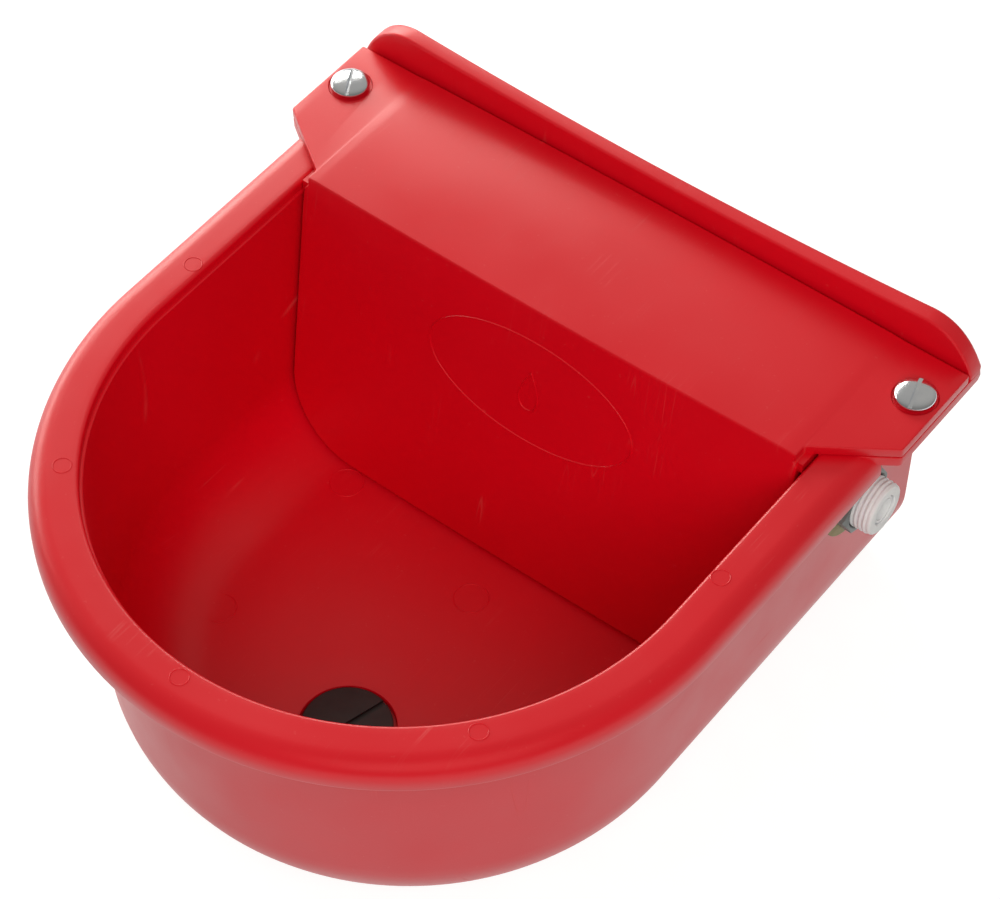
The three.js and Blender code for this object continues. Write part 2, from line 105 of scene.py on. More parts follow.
COVER_STEP_X = 109.1
COVER_STEP_Y = 71.8
COVER_FRONT_Y = 66.8
SKIRT_LEAN = 0.2
SKIRT_THICK = 3.2
SKIRT_BOTTOM = COVER_LOW.z
SKIRT_SIDE_GAP = 1.3

FIXING_HOLE = {"x": 70.0, "z": 88.0, "r": 4.5}
SCREW_X = 127.2
SCREW_Y = 113.5
SCREW_HOLE_R = 3.4
RECESS_R = 8.3
RECESS_DEPTH = 1.2
DRAIN_Y = middle("drain_plug").y
DRAIN_HOLE_R = 13.0
DRAIN_RECESS_R = 18.2
DRAIN_RECESS_DEPTH = 2.5
INLET_Y = middle("inlet_washer").y
INLET_Z = middle("inlet_washer").z
INLET_HOLE_R = 10.9
DRAIN_SLOT_TURN = math.radians(74)
SCREW_TURN = {"left": 2.07, "right": 1.86}

# How far a cutter runs past what it cuts, and how much of a side an eased corner may use.
OVERCUT = 4.0
EASING_SHARE = 0.45


# ---- mesh helpers --------------------------------------------------------------------------
def mesh_object(name, vertices, faces):
    """A new object from vertices in millimetres."""
    mesh = bpy.data.meshes.new(name)
    mesh.from_pydata([Vector(v) * MM for v in vertices], [], faces)
    mesh.validate()
    found = bmesh.new()
    found.from_mesh(mesh)
    bmesh.ops.recalc_face_normals(found, faces=found.faces)
    found.to_mesh(mesh)
    found.free()
    obj = bpy.data.objects.new(name, mesh)
    bpy.context.scene.collection.objects.link(obj)
    return obj


def quads(rows, count, rows_close=False, rings_close=True):
    """Faces between neighbouring rows of count points each."""
    faces = []
    for k in range(rows if rows_close else rows - 1):
        n = (k + 1) % rows
        for i in range(count if rings_close else count - 1):
            j = (i + 1) % count
            faces.append((k * count + i, k * count + j, n * count + j, n * count + i))
    return faces


def points_of(rings):
    return [point for ring in rings for point in ring]


def lofted(name, rings):
    """Skins closed rings that have the same number of points, and closes both ends."""
    count = len(rings[0])
    last = (len(rings) - 1) * count
    ends = [tuple(range(count)), tuple(range(last, last + count))]
    return mesh_object(name, points_of(rings), quads(len(rings), count) + ends)


def turned(name, profile, segments=64, place=None):
    """A profile of (radius, height) pairs turned about Z. It runs from axis to axis, or closes."""
    on_axis = profile[0][0] == 0
    inner = profile[1:-1] if on_axis else profile
    angles = [TAU * i / segments for i in range(segments)]
    vertices = [(r * math.cos(angle), r * math.sin(angle), z) for r, z in inner for angle in angles]
    faces = quads(len(inner), segments, rows_close=not on_axis)
    if on_axis:
        ends = ((0, profile[0][1]), (len(inner) - 1, profile[-1][1]))
        for k, z in ends:
            centre = len(vertices)
            vertices.append((0, 0, z))
            for i in range(segments):
                faces.append((centre, k * segments + i, k * segments + (i + 1) % segments))
    obj = mesh_object(name, vertices, faces)
    if place is not None:
        obj.data.transform(place)
    return obj


def cylinder(radius, low, high, segments=64, place=None):
    return turned("cylinder", [(0, low), (radius, low), (radius, high), (0, high)], segments, place)


def along_x(y, z):
    """Takes the Z axis to the X axis through (y, z)."""
    return Matrix.Translation(Vector((0, y, z)) * MM) @ Matrix.Rotation(math.pi / 2, 4, "Y")


def along_y(x, z):
    """Takes the Z axis to the Y axis through (x, z)."""
    return Matrix.Translation(Vector((x, 0, z)) * MM) @ Matrix.Rotation(-math.pi / 2, 4, "X")


def at(x, y, z=0.0):
    return Matrix.Translation(Vector((x, y, z)) * MM)


def combine(target, tools, operation):
    """Joins tools to target, or cuts them out of it, and removes them."""
    for tool in tools:
        step = target.modifiers.new("step", "BOOLEAN")
        step.operation = operation
        step.solver = "MANIFOLD"
        step.object = tool
        view = bpy.context.evaluated_depsgraph_get()
        mesh = bpy.data.meshes.new_from_object(target.evaluated_get(view))
        target.modifiers.clear()
        target.data = mesh
        bpy.data.objects.remove(tool)
    return target


def eased_corner(before, corner, after, radius, steps):
    """The points of a curve that stands for a corner between its two neighbours."""
    here = Vector(corner)
    to_before = Vector(before) - here
    to_after = Vector(after) - here
    reach = min(radius, to_before.length * EASING_SHARE, to_after.length * EASING_SHARE)
    start = here + to_before.normalized() * reach
    end = here + to_after.normalized() * reach
    points = []
    for k in range(steps + 1):
        t = k / steps
        point = start * (1 - t) ** 2 + here * 2 * t * (1 - t) + end * t ** 2
        points.append((point.x, point.y))
    return points


def rounded_corners(points, radius, steps=6):
    """The same closed outline with each corner replaced by an arc-like curve."""
    result = []
    count = len(points)
    for i, corner in enumerate(points):
        result += eased_corner(points[i - 1], corner, points[(i + 1) % count], radius, steps)
    return result


def inset(points, amount):
    """Moves each point of a closed anticlockwise outline inwards along its normal."""
    result = []
    count = len(points)
    for i in range(count):
        along = Vector(points[(i + 1) % count]) - Vector(points[i - 1])
        if along.length < 1e-9:
            along = Vector(points[(i + 2) % count]) - Vector(points[i - 2])
        along.normalize()
        result.append((points[i][0] - along.y * amount, points[i][1] + along.x * amount))
    return result


def slab(name, outline, low, high, edge_low, edge_high, lift, steps=4):
    """A plate with an anticlockwise outline and rounded edges. lift(x, y, h) gives a 3-D point."""
    rings = []
    for i in range(steps + 1):
        angle = math.pi / 2 * i / steps
        shrink = edge_low * (1 - math.sin(angle))
        rings.append((shrink, low + edge_low * (1 - math.cos(angle))))
    for i in range(steps + 1):
        angle = math.pi / 2 * i / steps
        shrink = edge_high * (1 - math.cos(angle))
        rings.append((shrink, high - edge_high * (1 - math.sin(angle))))
    lofts = [[lift(x, y, h) for x, y in inset(outline, shrink)] for shrink, h in rings]
    return lofted(name, lofts)


def eased_share(value, low, high):
    """0 below low, 1 above high, and a smooth step between."""
    t = min(max((value - low) / (high - low), 0), 1)
    return t * t * (3 - 2 * t)


def flat(x, y, h):
    return (x, y, h)


def smooth(obj, angle=35):
    """Smooth shading that keeps edges sharper than angle."""
    for face in obj.data.polygons:
        face.use_smooth = True
    found = bmesh.new()
    found.from_mesh(obj.data)
    limit = math.radians(angle)
    for edge in found.edges:
        edge.smooth = not (edge.is_manifold and edge.calc_face_angle(0.0) > limit)
    found.to_mesh(obj.data)
    found.free()
    return obj


# ---- plan of the bowl ----------------------------------------------------------------------
SIDE_STEPS = 30
ROUND_STEPS = 96


def plan_outline(half, back_y):
    """Points from the left back corner round the front to the right back corner."""
    points = []
    for i in range(SIDE_STEPS):
        points.append((-half, back_y + (BOWL_CENTRE_Y - back_y) * i / SIDE_STEPS))
    for i in range(ROUND_STEPS + 1):
        angle = math.pi + math.pi * i / ROUND_STEPS
        points.append((half * math.cos(angle), BOWL_CENTRE_Y + half * math.sin(angle)))
    for i in range(1, SIDE_STEPS + 1):
        points.append((half, BOWL_CENTRE_Y + (back_y - BOWL_CENTRE_Y) * i / SIDE_STEPS))
    return points


def wall_profile(top_half, top, bottom, fillet, steps=14, levels=6):
    """(half width, z) from the foot of the fillet to the top of a drafted wall."""
    foot = top_half - DRAFT * (top - bottom - fillet)
    profile = []
    for i in range(steps + 1):
        angle = math.pi / 2 * i / steps
        half = foot - fillet + fillet * math.sin(angle)
        profile.append((half, bottom + fillet - fillet * math.cos(angle)))
    for i in range(1, levels + 1):
        z = bottom + fillet + (top - bottom - fillet) * i / levels
        profile.append((top_half - DRAFT * (top - z), z))
    return profile


# ---- trough body ---------------------------------------------------------------------------
# The dish round the drain, the rings that carry the flat faces' points, the ears and the lip.
DISH_R = 34.0
DISH_DEPTH = 1.3
FLOOR_RINGS = 18
UNDERSIDE_RINGS = 3
EAR_RUN = 16.5
LIP_SHOULDER = 21.0
LIP_CORNER = 7.0
LIP_BOW = 1.0
# Ejector-pin marks as (x, y, height of the face, radius). The side ones are mirrored.
RIM_MARK_R = 3.3
FLOOR_MARK_R = 6.7
SIDE_MARKS = (
    (117.3, 11.6, RIM_TOP, RIM_MARK_R),
    (91.4, -86.4, RIM_TOP, RIM_MARK_R),
    (73.0, 36.0, FLOOR_TOP, FLOOR_MARK_R),
    (73.0, -39.7, FLOOR_TOP, FLOOR_MARK_R),
)
MIDDLE_MARKS = ((0, -128.9, RIM_TOP, RIM_MARK_R), (0, 21.4, FLOOR_TOP, FLOOR_MARK_R))


def floor_drop(x, y):
    """How far the floor dips towards the drain."""
    distance = math.hypot(x, y - DRAIN_Y)
    return DISH_DEPTH * eased_share(DISH_R - distance, 0, DISH_R)


def basin():
    """The bowl's shell with its back wall, below the rim."""
    top = RIM_TOP - LEDGE_DROP
    inner = wall_profile(BOWL_HALF, RIM_TOP, FLOOR_TOP, INNER_FILLET)
    inner[-1:] = [(BOWL_HALF - 0.1, top - 0.4), (BOWL_HALF + 0.3, top)]
    foot = inner[0][0]
    floor = [(foot * (i + 0.5) / (FLOOR_RINGS + 0.5), FLOOR_TOP) for i in range(FLOOR_RINGS)]
    outer = wall_profile(BOWL_HALF + WALL, RIM_TOP, 0.0, OUTER_FILLET)
    outer[-1] = (BOWL_HALF + WALL, top)
    base = outer[0][0]
    under = [(base * (i + 0.5) / (UNDERSIDE_RINGS + 0.5), 0.0) for i in range(UNDERSIDE_RINGS)]
    inner_profile = floor + inner
    outer_profile = (under + outer)[::-1]
    vertices = []
    for half, z in inner_profile:
        for x, y in plan_outline(half, BACK_Y - BACK_WALL):
            drop = floor_drop(x, y) if z == FLOOR_TOP else 0.0
            vertices.append((x, y, z - drop))
    for half, z in outer_profile:
        for x, y in plan_outline(half, BACK_Y):
            vertices.append((x, y, z))
    count = len(plan_outline(1, 0))
    rings = len(inner_profile) + len(outer_profile)
    faces = quads(rings, count, rings_close=False)
    last = count - 1
    edge = len(inner_profile)
    faces.append(tuple(range(count)))
    faces.append(tuple(range((rings - 1) * count, rings * count)))
    for first, end in ((0, edge), (edge, rings)):
        left = [k * count for k in range(first, end)]
        right = [k * count + last for k in range(first, end)]
        faces.append(tuple(left[::-1] + right))
    inside = (edge - 1) * count
    outside = edge * count
    faces.append((inside, inside + last, outside + last, outside))
    return mesh_object("basin", vertices, faces)


def rim_section():
    """The rolled rim's section as (half width, z). Its inner face stands on the wall's ledge."""
    inner_edge = 1.6
    lower_edge = 0.7
    section = []

    def arc(centre, radius, start, end, steps):
        for i in range(steps + 1):
            angle = start + (end - start) * i / steps
            half = centre[0] + radius * math.cos(angle)
            section.append((half, centre[1] + radius * math.sin(angle)))

    right = math.pi / 2
    inner_x = BOWL_HALF + LEDGE_WIDTH
    foot = RIM_TOP - LEDGE_DROP - 1.4
    arc((inner_x + inner_edge, RIM_TOP - inner_edge), inner_edge, right, 2 * right, 7)
    section.append((inner_x, foot))
    section.append((BOWL_HALF + WALL - 0.5, foot))
    section.append((BOWL_HALF + WALL - 0.5, RIM_TOP - RIM_THICK))
    centre = (RIM_HALF - RIM_ROLL, RIM_TOP - RIM_ROLL)
    arc(centre, RIM_ROLL - RIM_THICK, right, 0, 8)
    bottom = RIM_TOP - RIM_DROP
    edge_z = bottom + lower_edge
    arc((RIM_HALF - RIM_THICK + lower_edge, edge_z), lower_edge, 2 * right, 3 * right, 3)
    arc((RIM_HALF - lower_edge, edge_z), lower_edge, 3 * right, 4 * right, 3)
    arc(centre, RIM_ROLL, 0, right, 14)
    for i in range(1, 4):
        section.append((centre[0] + (inner_x + inner_edge - centre[0]) * i / 4, RIM_TOP))
    return section


def rim():
    section = rim_section()
    rings = [[(x, y, z) for x, y in plan_outline(half, RIM_END_Y)] for half, z in section]
    rows = len(rings)
    count = len(rings[0])
    faces = quads(rows, count, rows_close=True, rings_close=False)
    faces.append(tuple(k * count for k in range(rows)))
    faces.append(tuple(k * count + count - 1 for k in reversed(range(rows))))
    return mesh_object("rim", points_of(rings), faces)


def ear(side):
    """The flat plate beside the float chamber that carries a cover screw."""
    points = [
        (BOWL_HALF + 1, BACK_Y - 1), (BOWL_HALF + 1, EAR_FRONT_Y - EAR_RUN),
        (EAR_HALF, EAR_FRONT_Y), (EAR_HALF, BACK_Y - 1),
    ]
    outline = rounded_corners(points, 1.2, 3)
    if side < 0:
        outline = [(-x, y) for x, y in outline][::-1]
    return slab("ear", outline, RIM_TOP - EAR_THICK, RIM_TOP - 0.1, 0.6, 0.4, flat)


def lip_outline():
    """The upstand behind the cover, as (x, z), anticlockwise seen from the front."""
    base = RIM_TOP - EAR_THICK
    peak = COVER_TOP + LIP_END
    shoulder = EAR_HALF - LIP_SHOULDER
    points = [(-EAR_HALF + 0.4, base), (EAR_HALF - 0.4, base)]
    corner_steps = 14
    for i in range(corner_steps + 1):
        t = i / corner_steps
        x = (1 - t) ** 2 * EAR_HALF + 2 * t * (1 - t) * (EAR_HALF - LIP_CORNER) + t * t * shoulder
        z = (1 - t) ** 2 * (COVER_TOP - 3) + 2 * t * (1 - t) * peak + t * t * peak
        points.append((x, z))
    top_steps = 40
    for i in range(1, top_steps):
        t = 1 - 2 * i / top_steps
        points.append((shoulder * t, COVER_TOP + LIP_MIDDLE + (LIP_END - LIP_MIDDLE) * t * t))
    points += [(-x, z) for x, z in points[2:2 + corner_steps + 1]][::-1]
    return points


def lip():
    """The upstand behind the cover. Its front bows back a little in the middle."""
    centre_y = (LIP_FRONT_Y + BACK_Y) / 2

    def lift(x, z, depth):
        bow = LIP_BOW * (1 - (x / EAR_HALF) ** 2) if depth < centre_y else 0.0
        return (x, depth + bow, z)

    return slab("lip", lip_outline(), LIP_FRONT_Y, BACK_Y - 0.06, 1.1, 1.6, lift, 5)


def mark_ring(x, y, z, radius, width=0.28, height=0.16):
    """A faint raised ring, as left by an ejector pin in the mould."""
    crest = width * 0.4
    foot = z - 0.6
    profile = [
        (radius - width, foot), (radius + width, foot), (radius + width, z),
        (radius + crest, z + height), (radius - crest, z + height), (radius - width, z),
    ]
    return turned("mark", profile, 48, at(x, y))


def trough_body():
    body = basin()
    combine(body, [rim(), ear(-1), ear(1), lip()], "UNION")
    outside = BOWL_HALF + WALL
    inlet_place = along_x(INLET_Y, INLET_Z)
    cutters = [
        cylinder(DRAIN_HOLE_R, -OVERCUT, FLOOR_TOP + OVERCUT, place=at(0, DRAIN_Y)),
        drain_recess(),
        cylinder(INLET_HOLE_R, BOWL_HALF - 2 * OVERCUT, outside + OVERCUT, place=inlet_place),
    ]
    under_ear = RIM_TOP - EAR_THICK
    in_wall = BACK_Y - BACK_WALL
    for side in (-1, 1):
        screw_place = at(side * SCREW_X, SCREW_Y)
        cutters.append(cylinder(SCREW_HOLE_R, under_ear - OVERCUT, RIM_TOP + OVERCUT, 40, screw_place))
        wall_place = along_y(side * FIXING_HOLE["x"], FIXING_HOLE["z"])
        cutters.append(cylinder(FIXING_HOLE["r"], in_wall - OVERCUT, BACK_Y + OVERCUT, 40, wall_place))
    combine(body, cutters, "DIFFERENCE")
    marks = [mark_ring(side * x, y, z, r) for side in (-1, 1) for x, y, z, r in SIDE_MARKS]
    marks += [mark_ring(*mark) for mark in MIDDLE_MARKS]
    combine(body, marks, "UNION")
    body.name = "trough_moulding"
    return smooth(body, 32)


def drain_recess():
    """The round seat for the drain plug's head, with an eased edge."""
    low = FLOOR_TOP - DRAIN_RECESS_DEPTH
    edge = FLOOR_TOP - DISH_DEPTH * 0.55
    high = FLOOR_TOP + OVERCUT
    profile = [
        (0, low), (DRAIN_RECESS_R, low), (DRAIN_RECESS_R, edge - 0.5),
        (DRAIN_RECESS_R + 0.6, edge + 0.3), (DRAIN_RECESS_R + 0.9, high), (0, high),
    ]
    return turned("recess", profile, 96, at(0, DRAIN_Y))


# ---- float cover ---------------------------------------------------------------------------
# The wings lie WING_DROP lower than the middle. The step down runs over CREASE, in x.
WING_DROP = 0.34
CREASE = (104.0, 110.0)
CREASE_STEPS = 5
EDGE_BOW = 1.3
BACK_BOW_SHARE = 0.6
COVER_CUT_EVERY = 6.0
RIBS_X = (-62, 0, 62)
RIB = {"half": 1.2, "depth": 14.0, "length": 12.0}
RETURN_INNER = COVER_STEP_X - 2.2
RETURN_OUTER = BOWL_HALF - 1.7
RETURN_LENGTH = 24.0
RETURN_DEPTH = 16.0
EMBLEM = {"drop": 36.4, "half_x": 46.0, "half_z": 22.5, "line": 0.34, "proud": 0.30}
WATER_DROP = {"half_x": 5.6, "half_z": 8.5}


def cover_outline():
    right = [
        (COVER_STEP_X, COVER_FRONT_Y), (COVER_STEP_X, COVER_STEP_Y),
        (EAR_HALF, EAR_FRONT_Y), (EAR_HALF, COVER_BACK_Y),
    ]
    left = [(-x, y) for x, y in reversed(right)]
    return rounded_corners(right + left, 0.8, 3)


def skirt():
    """The leaning front sheet, whose lower corners follow the bowl's fillet."""
    lift_z = SKIRT_BOTTOM - FLOOR_TOP
    shoulder = COVER_STEP_X - 0.4
    profile = wall_profile(BOWL_HALF, RIM_TOP, FLOOR_TOP, INNER_FILLET, 16, 8)
    side = [(half - SKIRT_SIDE_GAP, z + lift_z) for half, z in profile]
    side[-1] = (RETURN_OUTER, RIM_TOP - 1)
    side.append((shoulder, COVER_TOP - COVER_THICK + 0.8))
    side.append((shoulder, COVER_TOP - 0.2))
    outline = side + [(-x, z) for x, z in side][::-1]

    def lift(x, z, depth):
        return (x, COVER_FRONT_Y + depth - SKIRT_LEAN * (COVER_TOP - z), z)

    return slab("skirt", outline, 0.0, SKIRT_THICK, 0.6, 0.5, lift)


def raised_line(name, path, lift):
    """A closed raised line along a path of (x, z) points."""
    width = EMBLEM["line"]
    proud = EMBLEM["proud"]
    section = [(-1, 0.8), (-1, 0.0), (-0.45, -proud), (0.45, -proud), (1, 0.0), (1, 0.8)]
    count = len(path)
    rings = []
    for i, (x, z) in enumerate(path):
        along = Vector(path[(i + 1) % count]) - Vector(path[i - 1])
        along.normalize()
        across = Vector((-along.y, along.x)) * width
        rings.append([lift(x + across.x * s, z + across.y * s, depth) for s, depth in section])
    return mesh_object(name, points_of(rings), quads(count, len(section), rows_close=True))


def emblem():
    """A plain raised oval line with a water drop in it, on the front of the skirt."""
    middle_z = COVER_TOP - EMBLEM["drop"]
    oval_steps = 120
    drop_steps = 72

    def lift(x, z, depth):
        bow = EDGE_BOW * (1 - (x / COVER_STEP_X) ** 2)
        return (x, COVER_FRONT_Y - bow + depth - SKIRT_LEAN * (COVER_TOP - z), z)

    oval = []
    for i in range(oval_steps):
        t = TAU * i / oval_steps
        oval.append((EMBLEM["half_x"] * math.cos(t), middle_z + EMBLEM["half_z"] * math.sin(t)))
    drop = []
    for i in range(drop_steps):
        t = TAU * i / drop_steps
        x = WATER_DROP["half_x"] * math.sin(t) * math.sin(t / 2) ** 1.2
        drop.append((x, middle_z + WATER_DROP["half_z"] * math.cos(t)))
    return [raised_line("oval", oval, lift), raised_line("drop", drop, lift)]


def shape_cover(obj):
    """Lowers the wings a little and bows the long edges outwards, as the moulding cooled."""
    found = bmesh.new()
    found.from_mesh(obj.data)
    reach = int(EAR_HALF // COVER_CUT_EVERY)
    cuts = [x * COVER_CUT_EVERY for x in range(-reach, reach + 1)]
    for side in (-1, 1):
        width = CREASE[1] - CREASE[0]
        cuts += [side * (CREASE[0] + width * i / CREASE_STEPS) for i in range(CREASE_STEPS + 1)]
    for x in cuts:
        everything = found.verts[:] + found.edges[:] + found.faces[:]
        plane = (x * MM, 0, 0)
        bmesh.ops.bisect_plane(found, geom=everything, plane_co=plane, plane_no=(1, 0, 0), dist=1e-6)
    middle_y = (COVER_FRONT_Y + COVER_BACK_Y) / 2
    for vertex in found.verts:
        x, y, z = vertex.co / MM
        if z > COVER_TOP - COVER_THICK / 2:
            vertex.co.z -= WING_DROP * eased_share(abs(x), *CREASE) * MM
        if abs(x) < COVER_STEP_X:
            bow = EDGE_BOW * (1 - (x / COVER_STEP_X) ** 2) * MM
            vertex.co.y += (bow * BACK_BOW_SHARE if y > middle_y else -bow)
    found.to_mesh(obj.data)
    found.free()


def cover_ribs():
    """Short stiffening ribs behind the front sheet."""
    ribs = []
    low = COVER_TOP - RIB["depth"]
    high = COVER_TOP - 2
    for x in RIBS_X:
        left = x - RIB["half"]
        right = x + RIB["half"]
        points = [(left, low), (right, low), (right, high), (left, high)]
        front = COVER_FRONT_Y + 0.6
        end = COVER_FRONT_Y + RIB["length"]
        ribs.append(slab("rib", points, front, end, 0.1, 0.4, lambda u, v, h: (u, h, v)))
    return ribs


def cover_returns():
    """Short walls that close the front sheet's top corners, above and below the wall's ledge."""
    returns = []
    below_ledge = (RETURN_OUTER, COVER_TOP - RETURN_DEPTH)
    above_ledge = (BOWL_HALF + 0.1, RIM_TOP - LEDGE_DROP + 0.6)
    high_z = COVER_TOP - COVER_THICK + 0.5
    for side in (-1, 1):
        for outer, bottom in (below_ledge, above_ledge):
            left, right = sorted((side * RETURN_INNER, side * outer))
            low = (left, COVER_FRONT_Y + 0.4, bottom)
            returns.append(block(low, (right, COVER_FRONT_Y + RETURN_LENGTH, high_z)))
    return returns


def screw_seat():
    """The cutter for the round recess under a cover screw's head."""
    low = COVER_TOP - RECESS_DEPTH
    brim = COVER_TOP + 0.4
    return turned("seat", [
        (0, low), (RECESS_R - 0.3, low), (RECESS_R, COVER_TOP - 0.9),
        (RECESS_R, COVER_TOP - WING_DROP - 0.3), (RECESS_R + 0.8, brim), (0, brim),
    ])


def float_cover():
    plate = slab("plate", cover_outline(), COVER_TOP - COVER_THICK, COVER_TOP, 0.3, 0.5, flat)
    combine(plate, [skirt()] + cover_ribs() + cover_returns(), "UNION")
    shape_cover(plate)
    cutters = []
    under = COVER_TOP - COVER_THICK
    for side in (-1, 1):
        place_at = at(side * SCREW_X, SCREW_Y)
        seat = screw_seat()
        seat.data.transform(place_at)
        cutters.append(seat)
        cutters.append(cylinder(SCREW_HOLE_R, under - OVERCUT, COVER_TOP + OVERCUT, 40, place_at))
    combine(plate, cutters, "DIFFERENCE")
    combine(plate, emblem(), "UNION")
    plate.name = "cover_moulding"
    return smooth(plate, 32)


# ---- hardware ------------------------------------------------------------------------------
COVER_SCREW = {
    "head_r": 7.5, "seat_below_top": 3.6, "dome": 2.9, "edge": 0.55, "shank_r": 2.85,
    "crest": 2.9, "root": 2.45, "pitch": 1.0, "slot_half": 0.75, "slot_depth": 1.75,
}
PLUG = {
    "head": 2.0, "edge": 0.55, "crest": 12.4, "root": 11.5, "pitch": 3.0,
    "slot_half": 1.15, "slot_depth": 1.3, "hollow_r": 8.5, "hollow_roof": 1.5,
}
NUT_FLATS = {"cover": 10.0, "inlet": 25.0}
COVER_NUT_BORE = 3.15
DRAIN_GASKET_BORE = 13.2
VALVE = {
    "tube_start": 91.5, "tube_r": 9.5, "flange": (105.1, 108.1), "flange_r": 16.0, "shank_r": 9.9,
    "crest": 10.5, "root": 10.0, "pitch": 1.814,
}
# Each bore as its radius, then where it starts or ends along X.
VALVE_BORES = {"piston": (5.2, 104.3), "orifice": (3.0, 104.0, 111.0), "inlet": (6.0, 110.0)}
YOKE = {"sides": (6.0, 9.0), "outline": [(80, 72), (97.5, 76), (97.5, 87), (84, 87)]}
YOKE_PIN = {"x": 85.0, "z": 77.0, "r": 1.8, "half_length": 12.0}
LEVER_WINDOW = {"x": (97.2, 100.4), "half_width": 3.5, "depth": 14.0}


def rounded_profile(corners, radius, steps=3):
    """A lathe profile from axis to axis whose inner corners are eased by radius."""
    result = [corners[0]]
    for before, corner, after in zip(corners, corners[1:], corners[2:]):
        result += eased_corner(before, corner, after, radius, steps)
    return result + [corners[-1]]


def disc(r, low, high, edge, segments):
    corners = [(0, low), (r, low), (r, high), (0, high)]
    return turned("disc", rounded_profile(corners, edge), segments)


def ring(r, hole_r, low, high, edge, segments=72):
    """A washer with eased outer edges."""
    hole = cylinder(hole_r, low - 1, high + 1, segments)
    return combine(disc(r, low, high, edge, segments), [hole], "DIFFERENCE")


def block(low, high):
    """A plain cutting or joining block between two corners."""
    points = [(low[0], low[1]), (high[0], low[1]), (high[0], high[1]), (low[0], high[1])]
    return lofted("block", [[(x, y, z) for x, y in points] for z in (low[2], high[2])])


def thread(crest, root, pitch, low, high, segments=48, rows_per_turn=10):
    """A screw thread about Z that fades into its core at both ends."""
    rows = round((high - low) / pitch * rows_per_turn)
    rings = []
    for k in range(rows + 1):
        z = low + (high - low) * k / rows
        fade = min(1.0, (z - low) / pitch, (high - z) / pitch)
        points = []
        for i in range(segments):
            phase = (z / pitch - i / segments) % 1
            rise = min(max((1 - abs(2 * phase - 1) - 0.2) / 0.6, 0), 1)
            r = root + (crest - root) * rise * fade
            angle = TAU * i / segments
            points.append((r * math.cos(angle), r * math.sin(angle), z))
        rings.append(points)
    return lofted("thread", rings)


def hex_nut(flats, low, high, bore):
    """A hexagon nut with both ends chamfered round and the bore's mouths countersunk."""
    corner = flats / math.sqrt(3)
    angles = [TAU * (i + 0.5) / 6 for i in range(6)]
    points = [(corner * math.cos(angle), corner * math.sin(angle)) for angle in angles]
    nut = lofted("nut", [[(x, y, z) for x, y in points] for z in (low, high)])
    slope = (corner - flats / 2) * 0.6
    face = flats / 2 - 0.15
    brim = corner + 0.2
    blank = [(0, low), (face, low), (brim, low + slope), (brim, high - slope), (face, high), (0, high)]
    combine(nut, [turned("blank", blank, 96)], "INTERSECT")
    mouth = 0.5
    wide = bore + mouth + 1
    hole = [(0, low - 1), (wide, low - 1), (bore, low + mouth)]
    hole += [(bore, high - mouth), (wide, high + 1), (0, high + 1)]
    return combine(nut, [turned("bore", hole)], "DIFFERENCE")


def slot_cutter(radius, half_width, top, depth, turn):
    """The block that cuts a screwdriver slot across a head's top."""
    slot = block((-radius - 1, -half_width, top - depth), (radius + 1, half_width, top + 1))
    slot.data.transform(Matrix.Rotation(turn, 4, "Z"))
    return slot


def cover_screw(side_name, turn):
    """A low mushroom-headed machine screw with a slot and a rolled thread."""
    node = f"{side_name}_cover_screw"
    low, high = node_box(node)
    radius = COVER_SCREW["head_r"]
    shank = COVER_SCREW["shank_r"]
    edge = COVER_SCREW["edge"]
    seat = high.z - COVER_SCREW["seat_below_top"]
    top = seat + COVER_SCREW["dome"]
    profile = [(0, seat - 0.6), (shank, seat - 0.6), (shank, seat)]
    profile += [(radius - 0.25, seat), (radius, seat + 0.25)]
    steps = 16
    for i in range(steps + 1):
        angle = math.pi / 2 * i / steps
        z = seat + edge + (top - seat - edge) * math.sin(angle)
        profile.append((radius * math.cos(angle) ** 0.92, z))
    profile[-1] = (0, top)
    head = turned("head", profile, 96)
    slot = slot_cutter(radius, COVER_SCREW["slot_half"], top, COVER_SCREW["slot_depth"], turn)
    crest = COVER_SCREW["crest"]
    stem = thread(crest, COVER_SCREW["root"], COVER_SCREW["pitch"], low.z, seat, 32, 8)
    combine(head, [stem], "UNION")
    combine(head, [slot], "DIFFERENCE")
    place_at = middle(node)
    head.data.transform(at(place_at.x, place_at.y))
    head.name = f"{side_name}_mushroom_screw"
    return smooth(head)


def upright_ring(name, node, hole_r, edge):
    """A washer standing for a CAD node that lies flat."""
    low, high = node_box(node)
    centre = middle(node)
    obj = ring((high.x - low.x) / 2, hole_r, low.z, high.z, edge)
    obj.data.transform(at(centre.x, centre.y))
    obj.name = name
    return smooth(obj)


def cover_nut(side_name):
    node = f"{side_name}_cover_nut"
    low, high = node_box(node)
    centre = middle(node)
    obj = hex_nut(NUT_FLATS["cover"], low.z, high.z, COVER_NUT_BORE)
    obj.data.transform(at(centre.x, centre.y))
    obj.name = f"{side_name}_hex_nut"
    return smooth(obj)


def drain_plug():
    """A broad flat plug with a coin slot and a coarse thread."""
    low, high = node_box("drain_plug")
    radius = (high.x - low.x) / 2
    seat = high.z - PLUG["head"]
    head = disc(radius, seat, high.z, PLUG["edge"], 96)
    stem = thread(PLUG["crest"], PLUG["root"], PLUG["pitch"], low.z, seat + 0.5, 64)
    combine(head, [stem], "UNION")
    slot = slot_cutter(radius, PLUG["slot_half"], high.z, PLUG["slot_depth"], DRAIN_SLOT_TURN)
    under = cylinder(PLUG["hollow_r"], low.z - 1, seat - PLUG["hollow_roof"])
    combine(head, [slot, under], "DIFFERENCE")
    head.data.transform(at(0, DRAIN_Y))
    head.name = "drain_screw_plug"
    return smooth(head)


def on_inlet(obj, name):
    obj.data.transform(along_x(INLET_Y, INLET_Z))
    obj.name = name
    return smooth(obj)


